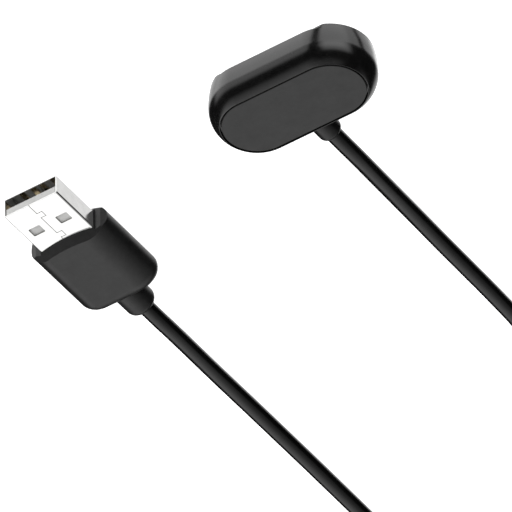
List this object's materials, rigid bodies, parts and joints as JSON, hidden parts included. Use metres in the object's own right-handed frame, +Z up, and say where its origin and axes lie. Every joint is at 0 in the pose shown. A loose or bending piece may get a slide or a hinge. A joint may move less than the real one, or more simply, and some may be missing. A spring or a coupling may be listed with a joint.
{
  "type": "fitness tracker charging lead",
  "caption": "Charging lead for a fitness tracker: a pill-shaped magnetic dock with sprung contacts, a thin round cord that lies coiled in part, and a flat metal-shelled plug.",
  "frame": {"origin": "under the middle of the dock, on the surface that the lead lies on", "axes": "+X along the dock's length towards the plug, +Y the way the cord leaves the dock and the plug, +Z up; the dock lies with its charging face down"},
  "size_m": [0.0814, 0.1893, 0.0092],
  "materials": {
    "gloss_black": "satin gloss moulded plastic",
    "matt_grey": "fine matt moulded plastic",
    "soft_black": "soft satin elastomer",
    "cord_black": "smooth extruded elastomer jacket",
    "nickel": "bright nickel plate on pressed steel",
    "white_plastic": "white moulded plastic",
    "natural_plastic": "undyed moulded plastic",
    "gold": "gold flash on brass",
    "spring_steel": "drawn spring wire",
    "magnet": "nickel plated magnet",
    "yoke_steel": "cold rolled strip",
    "board_green": "glass-fibre board with solder mask",
    "red_wire": "wire insulation",
    "black_wire": "wire insulation",
    "tie_black": "soft flat band"
  },
  "bodies": {
    "lead": {"dock_body": "gloss_black", "dock_base_plate": "matt_grey", "dock_grommet": "soft_black", "pin_carrier": "natural_plastic", "magnet_left": "magnet", "magnet_right": "magnet", "magnet_yoke": "yoke_steel", "dock_circuit_board": "board_green", "pin_barrel_left": "gold", "pin_barrel_right": "gold", "pin_spring_left": "spring_steel", "pin_spring_right": "spring_steel", "dock_wire_red": "red_wire", "dock_wire_black": "black_wire", "plug_shell": "nickel", "plug_insulator": "white_plastic", "contact_supply": "gold", "contact_data_minus": "gold", "contact_data_plus": "gold", "contact_ground": "gold", "plug_inner_mould": "natural_plastic", "plug_wire_red": "red_wire", "plug_wire_black": "black_wire", "plug_overmould": "soft_black", "cord_dock_run": "cord_black", "cord_plug_run": "cord_black", "cord_coil": "cord_black", "cord_tie": "tie_black"},
    "plunger_left": {"pin_plunger_left": "gold"},
    "plunger_right": {"pin_plunger_right": "gold"}
  },
  "joints": [
    {"name": "plunger_left_slide", "type": "slide", "parent": "lead", "child": "plunger_left", "axis": [0, 0, 1], "range_m": [0, 0.00065], "stiffness_N_per_m": 500, "springref_m": -0.0006, "deforming": ["pin_spring_left"]},
    {"name": "plunger_right_slide", "type": "slide", "parent": "lead", "child": "plunger_right", "axis": [0, 0, 1], "range_m": [0, 0.00065], "stiffness_N_per_m": 500, "springref_m": -0.0006, "deforming": ["pin_spring_right"]}
  ]
}
